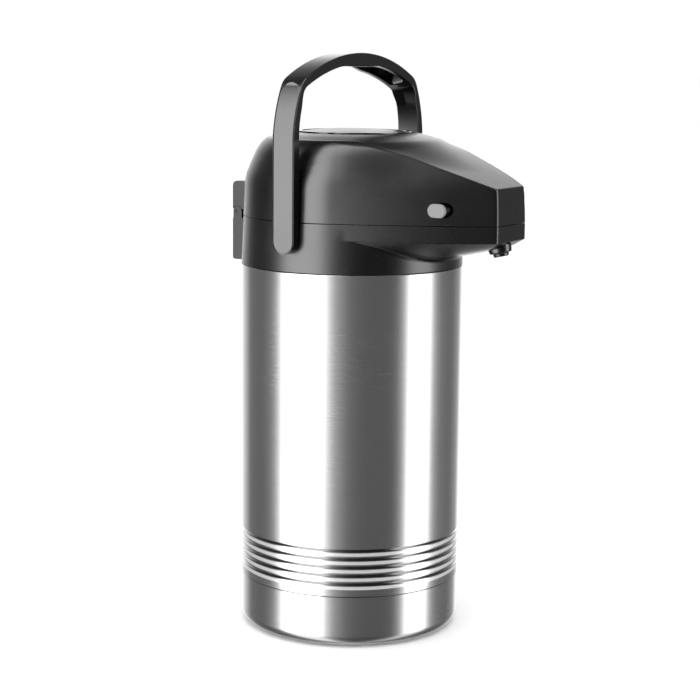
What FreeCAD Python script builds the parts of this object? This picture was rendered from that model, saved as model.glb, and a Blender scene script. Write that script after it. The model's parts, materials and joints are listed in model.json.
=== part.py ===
import FreeCAD, Part
import math
import os
from FreeCAD import Vector

# A pump-action vacuum airpot. Millimetres, +Z up, origin on the floor under the body's axis.
# The spout points along -Y, the lid hinge is at +Y, and the handle turns about X.

# ---- driving dimensions ----
CASING_R = 86.0          # outside of the steel casing
CASING_WALL = 0.7
BAND_R = 85.3            # outside of the bottom band
BAND_WALL = 0.8
BAND_TOP = 40.1
BAND_FLOOR = 1.0         # the band hangs this far above the floor
BAND_CORNER = 13.0
BAND_OPENING_R = 66.0
SEAM = 0.4               # visible line between two outer pieces
CASING_TOP = 284.9
GROOVES = 5              # pressed grooves round the casing's foot
GROOVE_FIRST_Z = 49.9
GROOVE_PITCH = 6.5
GROOVE_DEPTH = 0.8

PAD_R = 63.0
PAD_TOP = 1.5
SWIVEL_R = 64.5          # the plate the airpot turns on
SWIVEL_TOP = 5.0
SWIVEL_EDGE = 1.6
SWIVEL_STUD_R = 6.0
SWIVEL_STUD_TOP = 10.0
SWIVEL_HEAD = (10.0, 1.9, 3.3)    # radius, bottom and top of the stud's head
COVER_BOTTOM = 5.6
COVER_TOP = 8.0
COVER_RIM = (65.2, 71.4)          # the rim rests on the band
COVER_RUNNER = (55.0, 57.0)       # the ring that keeps the cover level over the swivel plate
RUNNER_BOTTOM = 5.3
COVER_SCREW_CIRCLE = 50.0
COVER_SCREW_ANGLES = (45, 135, 225, 315)
SCREW_R = 1.5
COVER_SCREW_HEAD = (3.2, 1.8)     # radius and height
SUPPORT_FOOT = (58.0, 62.0)
SUPPORT_WAIST_Z = 14.0
SUPPORT_BOWL_Z = 34.0
SUPPORT_TOP = 58.0
SUPPORT_R = 79.5
SUPPORT_WALL = 2.1
CUSHION = (30.0, 40.0)
GUARD_R = 12.0
GUARD_BORE_R = 8.0
GUARD_BOTTOM = 10.2
GUARD_FLOOR = 12.0
GUARD_TOP = 24.5

COLLAR_TOP = 321.7
LID_BOTTOM = 322.1
HEAD_R = 84.6            # collar and lid at their seam
SHELL = 2.5              # wall of the moulded shells
BEAK_REACH = 138.4       # from the axis to the front face of the beak
BEAK_SIDE_ANGLE = math.radians(27.9)
TIP_CORNER = 3.0
STRIP_BOTTOM = 309.9     # lower edge of the beak's side walls
DECK_BOTTOM = 308.0
DECK_TOP = 310.5
CHIMNEY_R = 34.0
CHIMNEY_TOP = 321.0
NECK_HOLE_R = 28.0
BELLY_R = 116.0          # the underside of the beak is part of a wide cylinder
BELLY_SLOPE = math.atan(0.24)
BELLY_INSET = 2.0        # it stands in from the beak's side walls
BELLY_START = (-85.0, 293.0)   # Y and Z of its lowest line at the body
BELLY_FRONT = (-131.0, 303.0)  # from here its front end rises to the beak's lower edge

# inset of the lid's wall from the seam outline at each height
LID_PROFILE = [(LID_BOTTOM, 0.0), (350.0, 1.2), (371.4, 9.9), (379.1, 15.3), (384.0, 21.5)]
ROOF_Z = 381.0
ROOF_FRONT_Z = 349.6
ROOF_SLOPE = math.radians(22.3)
ROOF_BEND = 24.0         # tangent length of the bend between roof and slope
CROWN_R = 67.0
CROWN_TOP_R = 45.0
CROWN_TOP = 386.0

PRESS_R = 39.7
PRESS_TOP = 388.4
PRESS_EDGE = 386.2
PRESS_SKIRT = 13.0
SURROUND_R = 42.6
RUN = 0.4                # clearance of a moving piece

HINGE_Y = 91.0
HINGE_Z = 321.5
HINGE_WIDTH = 52.0
HINGE_BACK = 95.5
HINGE_FOOT = 283.6
HINGE_TOP = 345.6
BARREL_R = 4.0
KNUCKLE_RISE = 2.0       # the lid's block starts this far above the hinge axis
KNUCKLE_GAP = 5.3        # and the collar's block ends this far below it
BARREL_HALF = 11.6
PIN_R = 2.0
RUNNING_FIT = 0.05

BOLT_Y = -102.9
BOLT_Z = 333.6
BOLT_OUT_X = -51.2       # the near end, pulled out
BOLT_IN_X = 40.0
BOLT_SIZE = (12.6, 8.4)
CAP_SIZE = (15.0, 10.3)
CAP_THICK = 2.5
BOLT_HOLE = (15.8, 11.1)

PIVOT_Y = 1.8
PIVOT_Z = 308.0
STUD_R = 5.0
STUD_FLANGE_R = 7.0
STUD_FLANGE_X = 78.0
STUD_END_X = 90.2
PIVOT_SCREW_R = 2.0
ARM_X = 94.0             # outer face of the handle arms
ARM_THICK = 8.0
ARM_WIDTH = 18.6
ARM_STRAIGHT_TOP = 385.0
ARM_SHOULDER = (80.5, 425.0)
ARM_BULGE = 2.4          # the arm's leaning part bows out by this much
GRIP_TOP = 446.0
GRIP_THICK = 10.5
INLAY_THICK = 1.2
INLAY_WIDTH = 16.8
INLAY_TOP = 416.0

LINER_R = 77.0
GLASS = 2.0
VACUUM = 3.0
LINER_FLOOR = 26.0
LINER_TOP = 306.0
LINER_SHOULDER = 287.0
LINER_CORNER = 45.0
LINER_NECK_R = 34.0
TIP_BOTTOM = 14.0        # lower end of the glass's sealed tip
SEAL_BORE_R = 28.5
SEAL_R = 37.5
SEAL_SKIRT = 8.0
LID_SEAL_TOP = (25.5, 35.5)      # inner and outer radius under the lid's plate
LID_SEAL_FOOT = (27.5, 33.5)     # and at the lower edge

TUBE_R = 4.0
TUBE_WALL = 1.0
TUBE_Z = 316.2           # axis of the level run over the collar's deck
TUBE_Y = -18.0           # axis of the dip tube
TUBE_BEND = 10.0
TUBE_JOINT_Y = -44.0
NOZZLE_Y = -129.0
NOZZLE_Z = 303.6
SPOUT_DEPTH = 2.0        # how far the spout tube reaches down into the nozzle
NOZZLE_FLANGE = (9.2, 8.2)       # radius at its top and at its foot
NOZZLE_MOUTH_R = 5.5
NOZZLE_STUB_R = 5.75

PLATE_BOTTOM = 324.0
PLATE_TOP = 326.5
CATCH_TOP = 330.0
CATCH_FOOT = 314.0
CATCH_TONGUE = (8.0, 15.0)   # from and to this distance beside the middle
LID_POSTS = [(58.0, 34.0), (-58.0, 34.0), (30.0, -92.0), (-30.0, -92.0)]
BELLOWS_TOP = 376.0
BELLOWS_BOTTOM = PLATE_TOP
BELLOWS_PLEATS = 6
BELLOWS_R = 36.0
BELLOWS_VALLEY_R = 30.0
BELLOWS_WALL = 1.2
SPRING_R = 18.0
SPRING_TURNS = 6
SPRING_WIRE_R = 1.0
SPRING_WIRE_SIDES = 8
Z_AXIS = Vector(0, 0, 1)


# ---- shared helpers ----
def disc(radius, bottom, top, x=0.0, y=0.0):
    return Part.makeCylinder(radius, top - bottom, Vector(x, y, bottom), Z_AXIS)


def ring(inner, outer, bottom, top):
    return disc(outer, bottom, top).cut(disc(inner, bottom - 1, top + 1))


def block(low, high):
    size = [b - a for a, b in zip(low, high)]
    return Part.makeBox(size[0], size[1], size[2], Vector(*low))


def rod_x(radius, start, end, y, z):
    """Cylinder along X."""
    return Part.makeCylinder(radius, end - start, Vector(start, y, z), Vector(1, 0, 0))


def wire_of(place, start, steps):
    """Closed wire. A step is a point, or (through, point) for an arc; place turns a pair into 3-D."""
    edges = []
    here = start
    for step in steps + [start]:
        if isinstance(step[0], tuple):
            through, there = step
            edges.append(Part.Arc(place(here), place(through), place(there)).toShape())
        else:
            there = step
            if there != here:
                edges.append(Part.makeLine(place(here), place(there)))
        here = there
    return Part.Wire(edges)


def spun(start, *steps):
    """Solid turned about Z from a closed outline of (radius, height) points."""
    face = Part.Face(wire_of(lambda p: Vector(p[0], 0, p[1]), start, list(steps)))
    return face.revolve(Vector(0, 0, 0), Z_AXIS, 360)


def arc(centre, radius, start, end):
    """Arc step round a centre, from one angle to another in degrees."""
    def point(angle):
        turn = math.radians(angle)
        return (centre[0] + radius * math.cos(turn), centre[1] + radius * math.sin(turn))
    return (point((start + end) / 2), point(end))


def on_circle(radius, degrees):
    turn = math.radians(degrees)
    return radius * math.cos(turn), radius * math.sin(turn)


def joined(shapes):
    """One fused shape."""
    whole = shapes[0]
    for shape in shapes[1:]:
        whole = whole.fuse(shape)
    return whole.removeSplitter()


def mirrored_pair(shape):
    """The shape and its mirror image across the YZ plane, as two solids."""
    return Part.makeCompound([shape, shape.mirror(Vector(0, 0, 0), Vector(1, 0, 0))])


def oval_x(size, start, end, y, z):
    """Bar along X whose section is an oval with straight top and bottom."""
    width, height = size
    half = (width - height) / 2
    middle = block((start, y - half, z - height / 2), (end, y + half, z + height / 2))
    ends = [rod_x(height / 2, start, end, y + side * half, z) for side in (-1, 1)]
    return joined([middle] + ends)


# ---- head outline ----
def plan_outline(inset, z):
    """The head seen from above: the body's circle and a beak with straight tapering sides."""
    radius = HEAD_R - inset
    front = -(BEAK_REACH - inset)
    slope_cos = math.cos(BEAK_SIDE_ANGLE)
    slope_sin = math.sin(BEAK_SIDE_ANGLE)
    tangent = Vector(radius * slope_cos, -radius * slope_sin, z)
    tip_x = (radius + front * slope_sin) / slope_cos
    corner_turn = math.pi / 2 - BEAK_SIDE_ANGLE
    reach = TIP_CORNER * math.tan(corner_turn / 2)
    side_end = Vector(tip_x + reach * slope_sin, front + reach * slope_cos, z)
    front_end = Vector(tip_x - reach, front, z)
    centre = Vector(tip_x - reach, front + TIP_CORNER, z)
    half_angle = -math.pi / 2 + corner_turn / 2
    corner = centre + Vector(math.cos(half_angle), math.sin(half_angle), 0) * TIP_CORNER

    def left(p):
        return Vector(-p.x, p.y, p.z)
    edges = [
        Part.Arc(tangent, Vector(0, radius, z), left(tangent)).toShape(),
        Part.makeLine(left(tangent), left(side_end)),
        Part.Arc(left(side_end), left(corner), left(front_end)).toShape(),
        Part.makeLine(left(front_end), front_end),
        Part.Arc(front_end, corner, side_end).toShape(),
        Part.makeLine(side_end, tangent),
    ]
    return Part.Wire(edges)


def plan_prism(inset, bottom, top):
    return Part.Face(plan_outline(inset, bottom)).extrude(Vector(0, 0, top - bottom))


def roof_space(drop):
    """Everything below the roof: level over the body, then sloping down along the beak."""
    level = ROOF_Z - drop
    front = (-BEAK_REACH, ROOF_FRONT_Z - drop)
    bend_y = front[0] + (level - front[1]) / math.tan(ROOF_SLOPE)
    slope_end = (bend_y - ROOF_BEND * math.cos(ROOF_SLOPE), level - ROOF_BEND * math.sin(ROOF_SLOPE))
    radius = ROOF_BEND / math.tan(ROOF_SLOPE / 2)
    turn = ROOF_SLOPE / 2
    bend_start = bend_y + ROOF_BEND
    middle = (bend_start - radius * math.sin(turn), level - radius * (1 - math.cos(turn)))
    far = (front[0] - 20, front[1] - 20 * math.tan(ROOF_SLOPE))
    outline = wire_of(
        lambda p: Vector(-120, p[0], p[1]),
        (120, 250.0),
        [(120, level), (bend_start, level), (middle, slope_end), far, (far[0], 250.0)],
    )
    return Part.Face(outline).extrude(Vector(240, 0, 0))


def head_form(inset, drop, bottom):
    """Outer form of the lid, made smaller by inset all round and lowered by drop."""
    sections = [plan_outline(inset + profile_inset, z - drop) for z, profile_inset in LID_PROFILE]
    sections[0] = plan_outline(inset, bottom)
    walls = Part.makeLoft(sections, True, True)
    crown = spun(
        (0.0, ROOF_Z - drop - 12),
        (CROWN_R - inset, ROOF_Z - drop - 12),
        (CROWN_R - inset, ROOF_Z - drop - 0.2),
        (CROWN_TOP_R - inset, CROWN_TOP - drop),
        (0.0, CROWN_TOP - drop),
    )
    return joined([walls.common(roof_space(drop)), crown])


def belly_form(inset, bottom_lift, top):
    """The rounded duct under the beak, between the body and the nozzle."""
    start = Vector(0, BELLY_START[0], BELLY_START[1] + bottom_lift)
    up = Vector(0, math.sin(BELLY_SLOPE), math.cos(BELLY_SLOPE))
    along = Vector(0, -math.cos(BELLY_SLOPE), math.sin(BELLY_SLOPE))
    begin = start + up * BELLY_R - along * 120
    drum = Part.makeCylinder(BELLY_R, 240, begin, along)
    foot = BELLY_START[1] - 10
    front = wire_of(
        lambda p: Vector(-120, p[0] + inset, p[1] + bottom_lift),
        (0.0, foot),
        [(BELLY_FRONT[0], foot), BELLY_FRONT, (-BEAK_REACH + BELLY_INSET, STRIP_BOTTOM),
         (-BEAK_REACH, 330.0), (0.0, 330.0)],
    )
    limit = Part.Face(front).extrude(Vector(240, 0, 0))
    duct = plan_prism(BELLY_INSET + inset, foot, top).common(drum).common(limit)
    return duct.cut(disc(HEAD_R - 1.0, foot - 1, top + 1))


def nozzle_place(depth):
    """Point on the nozzle's axis this far below the belly's skin, and the axis pointing down."""
    down = Vector(0, -math.sin(BELLY_SLOPE), -math.cos(BELLY_SLOPE))
    return Vector(0, NOZZLE_Y, NOZZLE_Z) + down * depth, down


def nozzle_rod(radius, start, end):
    """Cylinder square to the belly at the outlet, between two depths below its skin."""
    place, down = nozzle_place(start)
    return Part.makeCylinder(radius, end - start, place, down)


# ---- base ----
def foot_pad():
    return disc(PAD_R, 0.0, PAD_TOP)


def swivel_base():
    """Round plate on the foot pad; the stud's head lies in a recess under it."""
    corner = (SWIVEL_R - SWIVEL_EDGE, SWIVEL_TOP - SWIVEL_EDGE)
    plate = spun((0.0, PAD_TOP), (SWIVEL_R, PAD_TOP), (SWIVEL_R, corner[1]),
                 arc(corner, SWIVEL_EDGE, 0, 90), (0.0, SWIVEL_TOP))
    head_r, _, head_top = SWIVEL_HEAD
    recess = disc(head_r + 1.0, PAD_TOP - 0.5, head_top + RUN)
    return plate.cut(disc(SWIVEL_STUD_R + RUNNING_FIT, 1, 6)).cut(recess)


def swivel_stud():
    head_r, head_bottom, head_top = SWIVEL_HEAD
    return joined([disc(head_r, head_bottom, head_top), disc(SWIVEL_STUD_R, head_top, SWIVEL_STUD_TOP)])


def cover_screw_places():
    return [on_circle(COVER_SCREW_CIRCLE, angle) for angle in COVER_SCREW_ANGLES]


def bottom_cover():
    """Plate that closes the body from below and turns over the swivel plate."""
    rim_bottom = BAND_FLOOR + BAND_WALL
    cover = spun(
        (SWIVEL_STUD_R, COVER_BOTTOM), (COVER_RUNNER[0], COVER_BOTTOM), (COVER_RUNNER[0], RUNNER_BOTTOM),
        (COVER_RUNNER[1], RUNNER_BOTTOM), (COVER_RUNNER[1], COVER_BOTTOM), (COVER_RIM[0], COVER_BOTTOM),
        (COVER_RIM[0], rim_bottom), (COVER_RIM[1], rim_bottom), (COVER_RIM[1], COVER_TOP),
        (SWIVEL_STUD_R, COVER_TOP),
    )
    for x, y in cover_screw_places():
        cover = cover.cut(disc(SCREW_R + 0.1, COVER_BOTTOM - 1, COVER_TOP + 1, x, y))
    return cover


def cover_screws():
    head_r, head_height = COVER_SCREW_HEAD
    screws = []
    for x, y in cover_screw_places():
        head = disc(head_r, COVER_TOP, COVER_TOP + head_height, x, y)
        screws.append(joined([head, disc(SCREW_R, COVER_BOTTOM + 0.1, COVER_TOP, x, y)]))
    return Part.makeCompound(screws)


def bottom_band():
    inner_r = BAND_R - BAND_WALL
    corner = (BAND_R - BAND_CORNER, BAND_FLOOR + BAND_CORNER)
    spigot_r = CASING_R - CASING_WALL - 0.3
    return spun(
        (BAND_OPENING_R, BAND_FLOOR),
        (corner[0], BAND_FLOOR),
        arc(corner, BAND_CORNER, -90, 0),
        (BAND_R, BAND_TOP),
        (spigot_r, BAND_TOP),
        (spigot_r, BAND_TOP + 6),
        (inner_r - 0.3, BAND_TOP + 6),
        (inner_r - 0.3, BAND_TOP - 3),
        (inner_r, BAND_TOP - 5),
        (inner_r, corner[1]),
        arc(corner, BAND_CORNER - BAND_WALL, 0, -90),
        (BAND_OPENING_R, BAND_FLOOR + BAND_WALL),
    )


def liner_support():
    """Plastic cup that stands on the cover and centres the flask."""
    inner_r = SUPPORT_R - SUPPORT_WALL
    return spun(
        (SUPPORT_FOOT[0], COVER_TOP), (SUPPORT_FOOT[1], COVER_TOP), (SUPPORT_FOOT[1], SUPPORT_WAIST_Z),
        (SUPPORT_R, SUPPORT_BOWL_Z), (SUPPORT_R, SUPPORT_TOP), (inner_r, SUPPORT_TOP),
        (inner_r, SUPPORT_BOWL_Z + 1), (SUPPORT_FOOT[1] - 2, SUPPORT_WAIST_Z + 1),
        (SUPPORT_FOOT[0], SUPPORT_WAIST_Z + 1),
    )


def liner_cushion():
    return ring(CUSHION[0], CUSHION[1], COVER_TOP, LINER_FLOOR)


def tip_guard():
    """Cup round the glass flask's sealed tip."""
    wall = ring(GUARD_BORE_R, GUARD_R, GUARD_FLOOR, GUARD_TOP)
    return joined([wall, disc(GUARD_R, GUARD_BOTTOM, GUARD_FLOOR)])


# ---- flask ----
def bottle(radius, corner, floor, shoulder, neck, top):
    """Solid bottle: round bottom corner, round shoulder and a straight neck."""
    lower = (radius - corner, floor + corner)
    upper = (radius - corner, shoulder - corner)
    if upper[0] < neck:
        lean = math.degrees(math.acos((neck - upper[0]) / corner))
        rise = [(radius, upper[1]), arc(upper, corner, 0, lean)]
    else:
        rise = [(radius, upper[1]), arc(upper, corner, 0, 90), (neck, shoulder)]
    return spun((0.0, floor), (lower[0], floor), arc(lower, corner, -90, 0), *rise,
                (neck, top), (0.0, top))


def glass_liner():
    """Double-walled glass flask with the vacuum gap inside its wall."""
    inner_r = LINER_R - 2 * GLASS - VACUUM
    step = GLASS + VACUUM
    outer = bottle(LINER_R, LINER_CORNER, LINER_FLOOR, LINER_SHOULDER, LINER_NECK_R, LINER_TOP)
    gap_out = bottle(LINER_R - GLASS, LINER_CORNER - GLASS, LINER_FLOOR + GLASS,
                     LINER_SHOULDER - GLASS, LINER_NECK_R - GLASS, LINER_TOP - GLASS)
    gap_in = bottle(LINER_R - step, LINER_CORNER - step, LINER_FLOOR + step,
                    LINER_SHOULDER - step, LINER_NECK_R - step, LINER_TOP - GLASS)
    inside = bottle(inner_r, LINER_CORNER - step - GLASS, LINER_FLOOR + step + GLASS,
                    LINER_SHOULDER - step - GLASS, LINER_NECK_R - step - GLASS, LINER_TOP + 1)
    tip = Part.makeCone(2.0, 5.0, LINER_FLOOR - TIP_BOTTOM, Vector(0, 0, TIP_BOTTOM), Z_AXIS)
    vacuum = gap_out.cut(gap_in)
    return outer.cut(inside).cut(vacuum).fuse(tip)


def groove_steps(radius):
    """Steps up the casing's side, dipping in at each groove."""
    quarter = GROOVE_PITCH / 4
    steps = []
    for index in range(GROOVES):
        z = GROOVE_FIRST_Z + index * GROOVE_PITCH
        steps.append((radius, z - quarter))
        steps.append(((radius - GROOVE_DEPTH, z), (radius, z + quarter)))
    return steps


def sleeve(radius, bottom, top):
    return spun((0.0, bottom), (radius, bottom), *groove_steps(radius), (radius, top), (0.0, top))


def steel_casing():
    """Rolled sleeve with pressed grooves near its foot; the wall is the same thickness all over."""
    bottom = BAND_TOP + SEAM
    top = CASING_TOP - SEAM
    return sleeve(CASING_R, bottom, top).cut(sleeve(CASING_R - CASING_WALL, bottom - 1, top + 1))


def neck_seal():
    """Rubber ring between the flask's neck and the collar's deck, with a skirt round the neck."""
    return joined([ring(SEAL_BORE_R, SEAL_R, LINER_TOP, DECK_BOTTOM),
                   ring(LINER_NECK_R, SEAL_R, LINER_TOP - SEAL_SKIRT, LINER_TOP)])


# ---- collar ----
def collar_cone():
    return spun((0.0, CASING_TOP), (CASING_R, CASING_TOP), (HEAD_R, COLLAR_TOP), (0.0, COLLAR_TOP))


def collar_outside():
    strip = plan_prism(0.0, STRIP_BOTTOM, COLLAR_TOP)
    belly = belly_form(0.0, 0.0, STRIP_BOTTOM + 0.5)
    return joined([collar_cone(), strip, belly])


def collar():
    """Black moulding on top of the casing, with the deck, the neck rim and the beak's trough."""
    inside = CASING_R - SHELL - 1.0
    shell = collar_outside()
    shell = shell.cut(disc(inside, CASING_TOP - 1, DECK_BOTTOM))
    shell = shell.cut(plan_prism(SHELL, DECK_TOP, COLLAR_TOP + 1))
    trough = belly_form(SHELL, SHELL, DECK_TOP + 0.5).cut(disc(HEAD_R + 0.4, 250, 330))
    shell = shell.cut(trough)
    shell = shell.cut(disc(NECK_HOLE_R, 300, 330))
    rim = ring(NECK_HOLE_R, CHIMNEY_R, DECK_BOTTOM, CHIMNEY_TOP)
    spigot = ring(inside, CASING_R - CASING_WALL - 0.3, CASING_TOP - 8, CASING_TOP + 1)
    shell = joined([shell, rim, spigot])
    tube_hole = Part.makeCylinder(TUBE_R + 0.2, 30, Vector(0, -20, TUBE_Z), Vector(0, -1, 0))
    pocket = rod_x(STUD_FLANGE_R + 0.2, STUD_FLANGE_X - 3, STUD_FLANGE_X + 2.2, PIVOT_Y, PIVOT_Z)
    shell = shell.cut(mirrored_pair(pocket))
    for side in (-1, 1):
        start, end = sorted((side * 75.0, side * 95.0))
        shell = shell.cut(rod_x(STUD_R, start, end, PIVOT_Y, PIVOT_Z))
    return shell.cut(tube_hole).cut(nozzle_rod(NOZZLE_STUB_R + 0.05, -10, 5))


def hinge_barrel(radius, start, end):
    return rod_x(radius, start, end, HINGE_Y, HINGE_Z)


def collar_hinge_block():
    half = HINGE_WIDTH / 2
    top = HINGE_Z - KNUCKLE_GAP
    base = block((-half, 70.0, HINGE_FOOT), (half, HINGE_BACK, top))
    ears = []
    for side in (-1, 1):
        inner, outer = sorted((side * (BARREL_HALF + RUN), side * half))
        cheek = block((inner, HINGE_Y - BARREL_R, top - 1), (outer, HINGE_Y + BARREL_R, HINGE_Z))
        ears += [cheek, hinge_barrel(BARREL_R, inner, outer)]
    shape = joined([base] + ears)
    edges = [e for e in shape.Edges if is_back_edge(e, HINGE_FOOT)]
    shape = shape.makeFillet(2.0, edges)
    shape = shape.cut(collar_cone()).cut(disc(CASING_R + 0.05, 280, CASING_TOP))
    return shape.cut(hinge_barrel(PIN_R, -30, 30))


def is_back_edge(edge, z):
    """Is this the long edge at the hinge block's back, at height z?"""
    low, high = edge.BoundBox.ZMin, edge.BoundBox.ZMax
    level = abs(low - z) < 0.01 and abs(high - z) < 0.01
    return level and edge.BoundBox.YMin > HINGE_BACK - 0.01 and edge.Length > 20


def lid_hinge_block():
    half = HINGE_WIDTH / 2
    bottom = HINGE_Z + KNUCKLE_RISE
    base = block((-half, 70.0, bottom), (half, HINGE_BACK, HINGE_TOP))
    edges = [e for e in base.Edges if is_back_edge(e, HINGE_TOP)]
    base = base.makeFillet(4.0, edges)
    for side in (-1, 1):
        inner, outer = sorted((side * BARREL_HALF, side * (half + 1)))
        base = base.cut(hinge_barrel(BARREL_R + RUN, inner, outer))
    web = block((-BARREL_HALF, HINGE_Y - BARREL_R, HINGE_Z),
                (BARREL_HALF, HINGE_Y + BARREL_R, bottom + 1))
    shape = joined([base, web, hinge_barrel(BARREL_R, -BARREL_HALF, BARREL_HALF)])
    shape = shape.cut(head_form(0.0, 0.0, LID_BOTTOM)).cut(disc(HEAD_R + RUN, 310, LID_BOTTOM + 0.1))
    return shape.cut(hinge_barrel(PIN_R + RUNNING_FIT, -30, 30))


def hinge_pin():
    return hinge_barrel(PIN_R, -HINGE_WIDTH / 2 + 0.5, HINGE_WIDTH / 2 - 0.5)


def pivot_studs():
    stud = rod_x(STUD_R, STUD_FLANGE_X, STUD_END_X, PIVOT_Y, PIVOT_Z)
    flange = rod_x(STUD_FLANGE_R, STUD_FLANGE_X, STUD_FLANGE_X + 2, PIVOT_Y, PIVOT_Z)
    return mirrored_pair(joined([stud, flange]).cut(rod_x(PIVOT_SCREW_R, 70, 95, PIVOT_Y, PIVOT_Z)))


def pivot_screws():
    head = rod_x(7.0, STUD_END_X, STUD_END_X + 1.8, PIVOT_Y, PIVOT_Z)
    shank = rod_x(PIVOT_SCREW_R, STUD_FLANGE_X - 2, STUD_END_X + 0.3, PIVOT_Y, PIVOT_Z)
    return mirrored_pair(joined([head, shank]))


# ---- drink path ----
def pipe(points, radius):
    """Round pipe along straight runs and tangent arcs; a point is a pair, or (through, end)."""
    edges = []
    here = points[0]

    def place(p):
        return Vector(0, p[0], p[1])
    for step in points[1:]:
        if isinstance(step[0], tuple):
            edges.append(Part.Arc(place(here), place(step[0]), place(step[1])).toShape())
            here = step[1]
        else:
            edges.append(Part.makeLine(place(here), place(step)))
            here = step
    path = Part.Wire(edges)
    first = path.OrderedEdges[0]
    start = first.valueAt(first.FirstParameter)
    heading = first.tangentAt(first.FirstParameter)
    circle = Part.Wire(Part.makeCircle(radius, start, heading))
    return path.makePipeShell([circle], True, True)


def tube_along(points):
    return pipe(points, TUBE_R).cut(pipe(points, TUBE_R - TUBE_WALL))


def dip_tube():
    low = LINER_FLOOR + 2 * GLASS + VACUUM + 5
    bend = (TUBE_Y - TUBE_BEND, TUBE_Z - TUBE_BEND)
    return tube_along([(TUBE_Y, low), (TUBE_Y, bend[1]), arc(bend, TUBE_BEND, 0, 90),
                       (TUBE_JOINT_Y, TUBE_Z)])


def spout_tube():
    """Level run over the deck, then a bend down into the nozzle, square to the belly."""
    slope_sin = math.sin(BELLY_SLOPE)
    slope_cos = math.cos(BELLY_SLOPE)
    rise = (TUBE_Z - TUBE_BEND + TUBE_BEND * slope_sin - NOZZLE_Z) / slope_cos
    centre = (NOZZLE_Y + slope_sin * rise + slope_cos * TUBE_BEND, TUBE_Z - TUBE_BEND)
    begin = (TUBE_JOINT_Y - 0.3, TUBE_Z)
    bend = arc(centre, TUBE_BEND, 90, 180 - math.degrees(BELLY_SLOPE))
    outlet = (NOZZLE_Y - slope_sin * SPOUT_DEPTH, NOZZLE_Z - slope_cos * SPOUT_DEPTH)
    return tube_along([begin, (centre[0], TUBE_Z), bend, outlet])


def tube_joint():
    sleeve = Part.makeCylinder(5.5, 12, Vector(0, TUBE_JOINT_Y + 6, TUBE_Z), Vector(0, -1, 0))
    hole = Part.makeCylinder(TUBE_R, 20, Vector(0, TUBE_JOINT_Y + 8, TUBE_Z), Vector(0, -1, 0))
    return sleeve.cut(hole)


def pour_nozzle():
    """Stepped outlet: a stub in the belly, a wide flange under it and a narrower mouth."""
    place, down = nozzle_place(-3.0)
    flange = Part.makeCone(NOZZLE_FLANGE[0], NOZZLE_FLANGE[1], 6.2, place, down)
    mouth = nozzle_rod(NOZZLE_MOUTH_R, 2.5, 5.9)
    skirt = joined([flange, mouth]).cut(collar_outside())
    shape = joined([skirt, nozzle_rod(NOZZLE_STUB_R, -4.0, 1.0)])
    shape = shape.cut(nozzle_rod(TUBE_R, -10, SPOUT_DEPTH + 0.2))
    return shape.cut(nozzle_rod(TUBE_R - TUBE_WALL, SPOUT_DEPTH, 12))


# ---- lid ----
def lid_walls():
    return head_form(0.0, 0.0, LID_BOTTOM).cut(head_form(SHELL, SHELL, LID_BOTTOM - 2))


def lid_shell():
    """Black moulded head; hollow, open below, with the round opening for the pump button."""
    shell = lid_walls()
    inner_limit = head_form(1.0, 1.0, PLATE_TOP)
    for x, y in LID_POSTS:
        post = disc(4.0, PLATE_TOP, 390, x, y).common(inner_limit)
        shell = shell.fuse(post)
    shell = shell.removeSplitter()
    for x, y in LID_POSTS:
        shell = shell.cut(disc(1.5, PLATE_TOP - 2, PLATE_TOP + 9, x, y))
    shell = shell.cut(disc(SURROUND_R, 360, 400))
    return shell.cut(oval_x(BOLT_HOLE, -80, 80, BOLT_Y, BOLT_Z))


def lid_inner_plate():
    plate = plan_prism(SHELL + 0.4, PLATE_BOTTOM, PLATE_TOP)
    for x, y in LID_POSTS:
        plate = plate.cut(disc(1.6, PLATE_BOTTOM - 1, PLATE_TOP + 1, x, y))
    for slot in catch_tongues(0.2):
        plate = plate.cut(slot)
    return plate.cut(disc(4.0, PLATE_BOTTOM - 1, PLATE_TOP + 1))


def plate_screws():
    screws = []
    for x, y in LID_POSTS:
        head = disc(3.0, PLATE_BOTTOM - 1.5, PLATE_BOTTOM, x, y)
        screws.append(joined([head, disc(1.5, PLATE_BOTTOM - 0.5, PLATE_TOP + 8, x, y)]))
    return Part.makeCompound(screws)


def lid_seal():
    """Soft ring under the lid's plate that comes down over the collar's neck rim."""
    foot = CHIMNEY_TOP + 0.3
    return spun((LID_SEAL_FOOT[0], foot), (LID_SEAL_FOOT[1], foot), (LID_SEAL_TOP[1], PLATE_BOTTOM),
                (LID_SEAL_TOP[0], PLATE_BOTTOM))


def air_valve():
    """Rubber flap valve in the plate's centre port: a stem with a mushroom head."""
    return joined([disc(3.9, PLATE_BOTTOM, PLATE_TOP), disc(8.0, PLATE_BOTTOM - 1.2, PLATE_BOTTOM)])


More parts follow.
